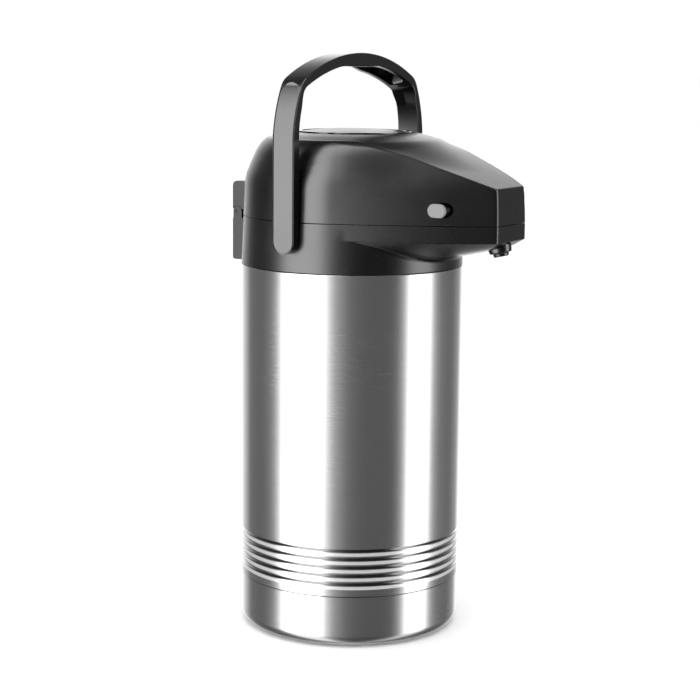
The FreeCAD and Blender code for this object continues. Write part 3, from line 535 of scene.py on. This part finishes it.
def oval_bar(size, start, end, rounding):
    """Bar along X with an oval section and softened ends."""
    turns = np.linspace(math.pi / 2, 0, 6)
    near = [(start + rounding * (1 - math.sin(a)), rounding * (1 - math.cos(a))) for a in turns]
    far = [(start + end - x, inset) for x, inset in reversed(near)]
    rings = []
    for x, inset in near + far:
        loop = oval(size, inset)
        rings.append([(x, BOLT_Y + p[0], BOLT_Z + p[1]) for p in loop])
    return skin(rings, around=False, caps=True)


# ---- spout nozzle ----
def nozzle_form():
    """Stepped outlet square to the belly: flange, mouth and the tube's hole."""
    tilt = math.atan(BELLY_SLOPE)
    place = Matrix.Translation(NOZZLE_PLACE) @ Matrix.Rotation(-tilt, 4, "X")
    corners = [
        (3.0, 3.0, 0.0), (5.75, 3.0, 0.3), (9.2, 2.6, 0.6), (8.3, -3.1, 0.9), (6.1, -3.4, 0.6),
        (5.5, -5.9, 0.6), (3.4, -5.9, 0.4), (3.0, -4.5, 0.2),
    ]
    return turned(corner_loop(corners, [0, 0, 2, 0, 0, 0, 0, 0], 5), 72, place)


# ---- carrying handle ----
ARM_X = 94.0
ARM_THICK = 8.0
ARM_HALF = 9.3
ARM_STRAIGHT_TOP = 385.0
ARM_SHOULDER = (81.2, 425.6)
GRIP_TOP = 446.0
GRIP_THICK = 10.5
INLAY_HALF = 8.4
INLAY_TOP = 416.0
INLAY_DEPTH = 1.2


def arc_through(start, middle, end, count):
    """Points on the circle through three points."""
    ax, az = start
    bx, bz = middle
    cx, cz = end
    d = 2 * (ax * (bz - cz) + bx * (cz - az) + cx * (az - bz))
    ux = ((ax**2 + az**2) * (bz - cz) + (bx**2 + bz**2) * (cz - az) + (cx**2 + cz**2) * (az - bz)) / d
    uz = ((ax**2 + az**2) * (cx - bx) + (bx**2 + bz**2) * (ax - cx) + (cx**2 + cz**2) * (bx - ax)) / d
    first, last = math.atan2(az - uz, ax - ux), math.atan2(cz - uz, cx - ux)
    radius = math.hypot(ax - ux, az - uz)
    turn = np.linspace(first, last, count)
    return np.stack([ux + radius * np.cos(turn), uz + radius * np.sin(turn)], axis=1)


def bail_line(offset, drop, rounding):
    """Half of a line along the bail, from the arm's pivot over the shoulder to the middle."""
    side = ARM_X - offset
    lean = (ARM_SHOULDER[0] - 0.6 * offset, ARM_SHOULDER[1] - 0.7 * drop)
    middle = ((side + lean[0]) / 2 + 2.4, (ARM_STRAIGHT_TOP + lean[1]) / 2)
    rise = arc_through((side, ARM_STRAIGHT_TOP), middle, lean, 40)
    top = (0.0, GRIP_TOP - drop)
    arch = arc_through(lean, top, (-lean[0], lean[1]), 121)[:61]
    rise_cut = resample(rise, 0.0, rounding, 24)
    arch_cut = resample(arch, rounding, 0.0, 46)
    shoulder = rounded_joint(rise_cut[-1], np.array(lean), arch_cut[0], 8)
    low = np.array([(side, z) for z in arm_heights()])
    return np.concatenate([low, rise_cut[1:], shoulder[1:], arch_cut[1:]])


def arm_heights():
    """Heights of the rings on the straight arm; close together at its round lower end."""
    turn = np.linspace(0, math.pi / 2, 14)
    round_end = PIVOT_Z - (ARM_HALF - 0.02) * np.cos(turn)
    return np.concatenate([round_end, np.linspace(PIVOT_Z + 3.5, ARM_STRAIGHT_TOP, 22)])


def opposite(points):
    """The points mirrored across the bail's middle, in reverse order."""
    return [(depth, -across) for depth, across in reversed(points)]


def section(half, thick, inlay, channel, lean):
    """Points (inward, across) round the bail's section, with a recess outside and one inside."""
    edge = min(0.7, 0.45 * half)
    lip = 0.1
    inlay_half, inlay_depth = inlay
    channel_half, channel_depth = channel
    turns = np.linspace(0, math.pi / 2, 4)
    near = [(edge * (1 - math.sin(a)), edge * (1 - math.cos(a)) - half) for a in turns]
    recess = [(0.0, -inlay_half - lip), (min(lip, inlay_depth), -inlay_half), (inlay_depth, -inlay_half)]
    far = [(thick - edge * (1 - math.sin(a)), half - edge * (1 - math.cos(a))) for a in turns]
    hollow = [(thick, channel_half + lip), (thick - min(lip, channel_depth), channel_half),
              (thick - channel_depth, channel_half)]
    inside = far + hollow + opposite(hollow) + opposite(far)
    slanted = [(d + lean * b / ARM_HALF, b) if d > thick / 2 else (d, b) for d, b in inside]
    return np.array(near + recess + opposite(recess) + opposite(near) + slanted)


def window(height_below, height_above, half):
    """Half-width of a slot with round ends, at a distance inside its two centres."""
    outside = max(-height_below, -height_above, 0.0)
    return math.sqrt(max(half ** 2 - outside ** 2, 0.0))


def bail_form():
    """Both arms and the grip between them: one half from the section's rings, the other mirrored."""
    outer = bail_line(0.0, 0.0, 5.0)
    inner = bail_line(ARM_THICK, GRIP_THICK, 3.0)
    rings = []
    for o, i in zip(outer, inner):
        below = max(PIVOT_Z - o[1], 0.0)
        half = math.sqrt(max(ARM_HALF ** 2 - below ** 2, 0.0004))
        on_arm = o[1] < ARM_SHOULDER[1] and o[0] > 70
        recess = window(o[1] - PIVOT_Z, INLAY_TOP - o[1], INLAY_HALF + 0.15) if on_arm else 0.0
        depth = INLAY_DEPTH if recess > 0.05 else 0.0
        grip = float(smooth_step(-i[0], -70.0, -66.0))
        thick = float(np.linalg.norm(o - i))
        lean = 2.4 * float(smooth_step(i[0], 6.0, 30.0)) * float(smooth_step(i[1], 404.0, 416.0))
        channel = (6.3 * min(1.0, grip * 4), (thick - 3.2) * grip)
        loop = section(half, thick, (recess, depth), channel, lean)
        direction = (i - o) / thick
        place = o + loop[:, :1] * direction
        rings.append(np.stack([place[:, 0], PIVOT_Y + loop[:, 1], place[:, 1]], axis=1))
    mirrored = [ring * (-1, 1, 1) for ring in reversed(rings[:-1])]
    return skin(rings + mirrored, around=False, caps=True)


def inlay_form(side):
    """Panel let into an arm's outer face."""
    outer = bail_line(0.0, 0.0, 5.0)
    curl = INLAY_HALF * np.sin(np.linspace(0, math.pi / 2, 12))
    straight_part = np.linspace(PIVOT_Z + 1, INLAY_TOP - 1, 60)
    rings = []
    for z in np.concatenate([PIVOT_Z - curl[::-1], straight_part, INLAY_TOP + curl]):
        x = np.interp(z, outer[:60, 1], outer[:60, 0])
        half = max(window(z - PIVOT_Z, INLAY_TOP - z, INLAY_HALF), 0.02)
        edge = min(0.3, half * 0.4)
        face = 0.1
        rise = [(INLAY_DEPTH, -half), (face + edge, -half), (face + 0.3 * edge, 0.3 * edge - half),
                (face, edge - half), (face, 1.6 * edge - half)]
        rings.append([(side * (x - d), PIVOT_Y + b, z) for d, b in rise + opposite(rise)])
    return skin(rings, around=False, caps=True)


# ---- materials ----
BLACK = ((0.0014, 0.0014, 0.0015), (0.0022, 0.0022, 0.0024))
METALLIC = 0.93


def grey(level):
    return (level, level, level)


def new_material(name):
    material = bpy.data.materials.new(name)
    material.use_nodes = True
    tree = material.node_tree
    return material, tree, tree.nodes["Principled BSDF"]


def noise(tree, vector, scale, detail=4.0, rough=0.55):
    node = tree.nodes.new("ShaderNodeTexNoise")
    node.inputs["Scale"].default_value = scale
    node.inputs["Detail"].default_value = detail
    node.inputs["Roughness"].default_value = rough
    tree.links.new(vector, node.inputs["Vector"])
    return node.outputs["Fac"]


def place_of(tree):
    return tree.nodes.new("ShaderNodeTexCoord").outputs["Object"]


def ranged(tree, value, low, high, start=0.3, end=0.7):
    """The value's middle part stretched to a new range."""
    node = tree.nodes.new("ShaderNodeMapRange")
    node.inputs["From Min"].default_value = start
    node.inputs["From Max"].default_value = end
    node.inputs["To Min"].default_value = low
    node.inputs["To Max"].default_value = high
    tree.links.new(value, node.inputs["Value"])
    return node.outputs["Result"]


def mixed(tree, factor, first, second):
    """Blend of two colours; each is a tuple or a socket."""
    node = tree.nodes.new("ShaderNodeMix")
    node.data_type = "RGBA"
    for socket, colour in ((node.inputs["A"], first), (node.inputs["B"], second)):
        if isinstance(colour, tuple):
            socket.default_value = (*colour, 1)
        else:
            tree.links.new(colour, socket)
    tree.links.new(factor, node.inputs["Factor"])
    return node.outputs["Result"]


def math_node(tree, kind, first, second=None):
    node = tree.nodes.new("ShaderNodeMath")
    node.operation = kind
    for socket, value in zip(node.inputs, (first, second)):
        if value is None:
            continue
        if isinstance(value, (int, float)):
            socket.default_value = value
        else:
            tree.links.new(value, socket)
    return node.outputs["Value"]


def bump(tree, height, strength, distance, before=None):
    node = tree.nodes.new("ShaderNodeBump")
    node.inputs["Strength"].default_value = strength
    node.inputs["Distance"].default_value = distance
    tree.links.new(height, node.inputs["Height"])
    if before is not None:
        tree.links.new(before, node.inputs["Normal"])
    return node.outputs["Normal"]


def plastic(name, dark, light, rough, spread=0.08, grain=2600.0, grain_depth=0.00002, gloss=0.5):
    """Moulded plastic: fine mould texture, faint flow marks and handling sheen."""
    material, tree, shader = new_material(name)
    where = place_of(tree)
    cloud = noise(tree, where, 22.0, 3.0)
    fine = noise(tree, where, grain, 2.0)
    shade_mix = mixed(tree, ranged(tree, cloud, 0.0, 1.0), dark, light)
    tree.links.new(shade_mix, shader.inputs["Base Color"])
    tree.links.new(ranged(tree, cloud, rough - spread, rough + spread), shader.inputs["Roughness"])
    broad = bump(tree, cloud, 0.15, 0.0001)
    tree.links.new(bump(tree, fine, 0.5, grain_depth, broad), shader.inputs["Normal"])
    shader.inputs["Specular IOR Level"].default_value = gloss
    return material


def hump(tree, value, centre, half):
    """1 in the middle part of a range, falling smoothly to 0 at its edges."""
    away = math_node(tree, "ABSOLUTE", math_node(tree, "SUBTRACT", value, centre))
    node = tree.nodes.new("ShaderNodeMapRange")
    node.interpolation_type = "SMOOTHSTEP"
    node.inputs["From Min"].default_value = half
    node.inputs["From Max"].default_value = half * 0.45
    tree.links.new(away, node.inputs["Value"])
    return node.outputs["Result"]


def painted_groove_light(tree, height):
    """Painted shadow under each groove's upper edge and painted highlight on its lower flank, as two masks.
    """
    low = (GROOVE_FIRST_Z - 3.2) * MM
    period = math_node(tree, "DIVIDE", math_node(tree, "SUBTRACT", height, low), GROOVE_PITCH * MM)
    within = math_node(tree, "FRACT", period)
    away = math_node(tree, "ABSOLUTE", math_node(tree, "SUBTRACT", period, GROOVES / 2))
    on_rows = math_node(tree, "LESS_THAN", away, GROOVES / 2)
    dark = math_node(tree, "MULTIPLY", hump(tree, within, 0.66, 0.27), on_rows)
    lit = math_node(tree, "MULTIPLY", hump(tree, within, 0.24, 0.25), on_rows)
    return dark, lit


def brushed_steel(name, tone, rough, painted_grooves=False):
    """Steel brushed round its axis: long fine scratches in colour, roughness and height; with painted_grooves
    it adds painted shade and painted highlights at the pressed grooves, and a dark line at the band's seam.
    """
    material, tree, shader = new_material(name)
    where = place_of(tree)
    parts = tree.nodes.new("ShaderNodeSeparateXYZ")
    tree.links.new(where, parts.inputs[0])
    back = math_node(tree, "MULTIPLY", parts.outputs["Y"], -1.0)
    angle = math_node(tree, "ARCTAN2", parts.outputs["X"], back)

    def scratches(along, up):
        joined = tree.nodes.new("ShaderNodeCombineXYZ")
        tree.links.new(math_node(tree, "MULTIPLY", angle, along), joined.inputs["X"])
        tree.links.new(math_node(tree, "MULTIPLY", parts.outputs["Z"], up), joined.inputs["Y"])
        tree.links.new(math_node(tree, "MULTIPLY", parts.outputs["X"], 2.0), joined.inputs["Z"])
        return joined.outputs["Vector"]

    fine = noise(tree, scratches(5.0, 2600.0), 1.0, 3.0, 0.7)
    wide = noise(tree, scratches(2.2, 700.0), 1.0, 3.0, 0.6)
    cloud = noise(tree, where, 9.0, 2.0)
    fine_part = math_node(tree, "MULTIPLY", fine, 0.7)
    both = math_node(tree, "ADD", fine_part, math_node(tree, "MULTIPLY", wide, 0.3))
    colour = mixed(tree, ranged(tree, both, 0.0, 1.0, 0.35, 0.65), grey(tone * 0.94), grey(tone * 1.04))
    grain = ranged(tree, both, rough - 0.02, rough + 0.02)
    shader.inputs["Metallic"].default_value = METALLIC
    if painted_grooves:
        # painted shade and highlight at the grooves: darker, fully metallic and less rough under each
        # groove's upper edge, paler and less metallic on its lower flank
        dark, lit = painted_groove_light(tree, parts.outputs["Z"])
        seam = hump(tree, parts.outputs["Z"], BAND_SEAM_Z * MM, 0.55 * MM)
        for share, level in ((lit, 0.85), (dark, 0.4), (seam, 0.08)):
            colour = mixed(tree, share, colour, grey(level))
        lit_metal = ranged(tree, lit, METALLIC, 0.5, 0.0, 1.0)
        dark_metal = math_node(tree, "MULTIPLY", dark, 1 - METALLIC)
        tree.links.new(math_node(tree, "ADD", lit_metal, dark_metal), shader.inputs["Metallic"])
        grain = math_node(tree, "SUBTRACT", grain, math_node(tree, "MULTIPLY", dark, 0.12))
    tree.links.new(colour, shader.inputs["Base Color"])
    soft = ranged(tree, cloud, -0.02, 0.02)
    tree.links.new(math_node(tree, "ADD", grain, soft), shader.inputs["Roughness"])
    tree.links.new(bump(tree, both, 0.12, 0.00002), shader.inputs["Normal"])
    shader.inputs["Anisotropic"].default_value = 0.6
    shader.inputs["Anisotropic Rotation"].default_value = 0.25
    tangent = tree.nodes.new("ShaderNodeTangent")
    tangent.direction_type = "RADIAL"
    tangent.axis = "Z"
    tree.links.new(tangent.outputs["Tangent"], shader.inputs["Tangent"])
    return material


def clear_glass(name):
    """Silvered glass of the vacuum flask."""
    material, tree, shader = new_material(name)
    where = place_of(tree)
    tree.links.new(ranged(tree, noise(tree, where, 60.0), 0.02, 0.09), shader.inputs["Roughness"])
    shader.inputs["Base Color"].default_value = (0.86, 0.9, 0.9, 1)
    shader.inputs["Metallic"].default_value = 0.85
    return material


MATERIALS = {
    "black_shell": plastic("black_shell", *BLACK, 0.27, 0.03, gloss=1.0),
    "black_gloss": plastic("black_gloss", *BLACK, 0.2, 0.03, 1500.0, 0.00001, 1.0),
    "button_plastic": plastic("button_plastic", (0.002, 0.002, 0.0022), (0.003, 0.003, 0.0033),
                              0.3, 0.03, gloss=0.9),
    "hinge_plastic": plastic("hinge_plastic", *BLACK, 0.3, 0.03, gloss=0.45),
    "cap_grey": plastic("cap_grey", (0.2, 0.205, 0.21), (0.23, 0.235, 0.24), 0.36, 0.05),
    "white_plastic": plastic("white_plastic", (0.72, 0.72, 0.70), (0.80, 0.80, 0.78), 0.42),
    "grey_rubber": plastic("grey_rubber", grey(0.16), grey(0.21), 0.7, 0.06),
    "black_rubber": plastic("black_rubber", grey(0.018), grey(0.03), 0.75, 0.06),
    # the body's steel carries the painted groove shade and highlights
    "brushed_steel": brushed_steel("brushed_steel", 0.57, 0.25, True),
    "steel_hardware": brushed_steel("steel_hardware", 0.58, 0.26),
    "clear_glass": clear_glass("clear_glass"),
}


def paint(piece, slot):
    piece.data.materials.clear()
    piece.data.materials.append(MATERIALS[slot])


# ---- pieces ----
bolt_bar = oval_bar(BOLT_SIZE, bolt_low.x, bolt_high.x, 0.4)
made = [
    add_piece("casing_shell", casing_form(), "flask", "brushed_steel", ["steel_casing"], 50),
    add_piece("bottom_band_shell", band_form(), "flask", "brushed_steel", ["bottom_band"]),
    add_piece("collar_shell", collar_form(), "flask", "black_shell", ["collar"]),
    add_piece("lid_cover", lid_form(), "lid", "black_shell", ["lid_shell"]),
    add_piece("pump_button", press_form(), "button", "button_plastic", ["press_plate"]),
    add_piece("button_ring", surround_form(), "lid", "black_gloss", ["press_surround"]),
    add_piece("spout_nozzle", nozzle_form(), "flask", "black_gloss", ["pour_nozzle"]),
    add_piece("bolt_shaft", bolt_bar, "lock", "black_gloss", ["lock_bolt"]),
    add_piece("carry_handle", bail_form(), "handle", "black_gloss", ["handle_bail"]),
]
for label, start in (("near", caps_low.x), ("far", caps_high.x - BOLT_CAP_LENGTH)):
    shape = oval_bar(BOLT_CAP_SIZE, start, start + BOLT_CAP_LENGTH, 0.7)
    made.append(add_piece("bolt_cap_" + label, shape, "lock", "cap_grey", ["bolt_caps"]))
for label, side in (("left", -1), ("right", 1)):
    made.append(add_piece("arm_inlay_" + label, inlay_form(side), "handle", "black_gloss", ["arm_inlays"]))
for piece in made:
    paint(piece, piece["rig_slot"])


def soft_copy(node, name, slot):
    """A carried-over soft piece as its own object with its own mesh, riding on the lid."""
    part = frame["nodes"][node]
    piece = bpy.data.objects.new(name, part.data.copy())
    scene.collection.objects.link(piece)
    piece.matrix_world = part.matrix_world
    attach(piece, "lid")
    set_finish(piece, slot)
    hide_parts(node)
    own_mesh(piece)
    paint(piece, slot)


def bolt_hole_cutter():
    """Bar that clears the bolt's hole through both sides of the beak."""
    points, faces = oval_bar(BOLT_HOLE, -90.0, 90.0, 0.1)
    mesh = bpy.data.meshes.new("bolt_hole")
    mesh.from_pydata([tuple(np.array(p) * MM) for p in points], [], faces)
    cutter = bpy.data.objects.new("bolt_hole", mesh)
    scene.collection.objects.link(cutter)
    return cutter


def cut_from(piece, cutter, sharp=32.0):
    """Subtracts the cutter from the piece's mesh and removes the cutter."""
    modifier = piece.modifiers.new("cut", "BOOLEAN")
    modifier.object = cutter
    modifier.solver = "EXACT"
    piece.modifiers.remove(piece.modifiers["level"])
    graph = bpy.context.evaluated_depsgraph_get()
    mesh = bpy.data.meshes.new_from_object(piece.evaluated_get(graph))
    piece.modifiers.clear()
    piece.data = mesh
    bpy.data.objects.remove(cutter)
    shade(piece, sharp)


cut_from(bpy.data.objects["lid_cover"], bolt_hole_cutter())

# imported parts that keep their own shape; the hinge's pin is as dark as its blocks
slot_of = {entry["node"]: entry["material_slot"] for entry in frame["record"]["subparts"]}
soft_copy("bellows", "pump_bellows", slot_of["bellows"])
soft_copy("return_spring", "pump_spring", slot_of["return_spring"])
for node, piece in frame["nodes"].items():
    if not piece.hide_render:
        paint(piece, "hinge_plastic" if "hinge" in node else slot_of[node])


# ---- floor, light and camera ----
def stage_material(name, colour, rough):
    material, tree, shader = new_material(name)
    shader.inputs["Base Color"].default_value = (*colour, 1)
    shader.inputs["Roughness"].default_value = rough
    return material


bpy.ops.mesh.primitive_plane_add(size=80.0, location=(0, 0, 0))
floor = bpy.context.object
floor.name = "floor"
floor.data.materials.append(stage_material("floor", grey(0.985), 0.6))
floor.visible_glossy = False


def studio_dome():
    """Light tent that only reflections see: upright panels by direction, dimmer overhead and at the foot."""
    mesh = bpy.data.meshes.new("studio_dome")
    ball = bmesh.new()
    bmesh.ops.create_icosphere(ball, subdivisions=4, radius=DOME_R)
    ball.to_mesh(mesh)
    ball.free()
    dome = bpy.data.objects.new("studio_dome", mesh)
    scene.collection.objects.link(dome)
    material = bpy.data.materials.new("studio_dome")
    material.use_nodes = True
    tree = material.node_tree
    tree.nodes.clear()
    out = tree.nodes.new("ShaderNodeOutputMaterial")
    glow = tree.nodes.new("ShaderNodeEmission")
    tree.links.new(glow.outputs[0], out.inputs["Surface"])
    parts = tree.nodes.new("ShaderNodeSeparateXYZ")
    tree.links.new(place_of(tree), parts.inputs[0])
    turn = math.radians(VIEW_DIRECTION)
    ahead = plane_sum(tree, parts, math.cos(turn), math.sin(turn))
    beside = plane_sum(tree, parts, -math.sin(turn), math.cos(turn))
    share = ranged(tree, math_node(tree, "ARCTAN2", beside, ahead), 0.0, 1.0, -math.pi, math.pi)
    ramp = tree.nodes.new("ShaderNodeValToRGB")
    ramp.color_ramp.interpolation = "EASE"
    tree.links.new(share, ramp.inputs["Fac"])
    stops = ramp.color_ramp.elements
    while len(stops) > 1:
        stops.remove(stops[-1])
    for index, (degrees, level) in enumerate(PANELS):
        position = (degrees + 180) / 360
        stop = stops[0] if index == 0 else stops.new(position)
        stop.position = position
        stop.color = (*grey(level / PANEL_PEAK), 1)
    overhead = math_node(tree, "SUBTRACT", parts.outputs["Z"], math_node(tree, "MULTIPLY", ahead, 0.6))
    top = ranged(tree, overhead, 0.0, 1.0, DOME_R * 0.92, DOME_R * 1.12)
    colour = mixed(tree, top, ramp.outputs["Color"], grey(TOP_LEVEL / PANEL_PEAK))
    foot = ranged(tree, parts.outputs["Z"], 0.0, 1.0, DOME_R * -0.3, DOME_R * -0.6)
    foot_colour = mixed(tree, foot, grey(1.0), grey(FOOT_SHARE))
    both = tree.nodes.new("ShaderNodeVectorMath")
    both.operation = "MULTIPLY"
    tree.links.new(colour, both.inputs[0])
    tree.links.new(foot_colour, both.inputs[1])
    tree.links.new(both.outputs["Vector"], glow.inputs["Color"])
    glow.inputs["Strength"].default_value = PANEL_PEAK
    dome.data.materials.append(material)
    dome.visible_camera = False
    dome.visible_diffuse = False
    dome.visible_shadow = False
    dome.visible_transmission = False


def plane_sum(tree, parts, along_x, along_y):
    """Weighted sum of a point's X and Y."""
    first = math_node(tree, "MULTIPLY", parts.outputs["X"], along_x)
    second = math_node(tree, "MULTIPLY", parts.outputs["Y"], along_y)
    return math_node(tree, "ADD", first, second)


# direction towards the camera, and the panels' brightness by angle from it (left negative)
VIEW_DIRECTION = 180 + 32.0
DOME_R = 6.0
PANEL_PEAK = 5.0
TOP_LEVEL = 0.12
FOOT_SHARE = 0.35
PANELS = [
    (-180, 1.9), (-160, 1.4), (-145, 0.8), (-128, 0.16), (-104, 0.12), (-90, 0.22), (-84, 0.45), (-77, 1.4),
    (-71, 4.4), (-33, 4.4), (-25, 1.2), (-15, 0.4), (0, 0.13), (14, 0.08), (46, 0.07), (56, 0.4),
    (64, 3.2), (85, 3.2), (94, 0.5), (106, 0.2), (126, 0.15), (146, 0.4), (162, 1.4), (180, 1.9),
]
studio_dome()

world = bpy.data.worlds.new("pale")
scene.world = world
world.use_nodes = True
world.node_tree.nodes["Background"].inputs["Color"].default_value = (1, 1, 1, 1)
world.node_tree.nodes["Background"].inputs["Strength"].default_value = 1.02


def softbox(name, place, aim, size, power):
    """Rectangular lamp that lights the scene and isn't seen in reflections."""
    light = bpy.data.lights.new(name, "AREA")
    light.shape = "RECTANGLE"
    light.size, light.size_y = size
    light.energy = power
    holder = bpy.data.objects.new(name, light)
    holder.location = place
    direction = Vector(aim) - Vector(place)
    holder.rotation_mode = "QUATERNION"
    holder.rotation_quaternion = direction.to_track_quat("-Z", "Y")
    holder.visible_glossy = False
    scene.collection.objects.link(holder)


softbox("top_softbox", (-0.3, -0.2, 2.2), (0, 0, 0.2), (1.6, 1.6), 22)

CAMERA_PLACE = Vector((-1.2078, -0.7547, 0.4467))
CAMERA_HEADING = math.radians(-58.0) + 0.0007
CAMERA_PITCH = math.radians(9.218)
CAMERA_ROLL = 0.0096
camera_data = bpy.data.cameras.new("camera")
camera = bpy.data.objects.new("camera", camera_data)
scene.collection.objects.link(camera)
scene.camera = camera
camera_data.sensor_width = 36.0
camera_data.lens = 94.53
level_forward = Vector((-math.sin(CAMERA_HEADING), math.cos(CAMERA_HEADING), 0.0))
forward = level_forward * math.cos(CAMERA_PITCH) + Vector((0.0, 0.0, -math.sin(CAMERA_PITCH)))
side_way = Vector((math.cos(CAMERA_HEADING), math.sin(CAMERA_HEADING), 0.0))
up_way = side_way.cross(forward)
right = side_way * math.cos(CAMERA_ROLL) + up_way * math.sin(CAMERA_ROLL)
up = right.cross(forward)
basis = Matrix((right, up, -forward)).transposed()
camera.matrix_world = Matrix.Translation(CAMERA_PLACE) @ basis.to_4x4()
camera_data.clip_end = 50.0
scene.view_settings.view_transform = "Standard"
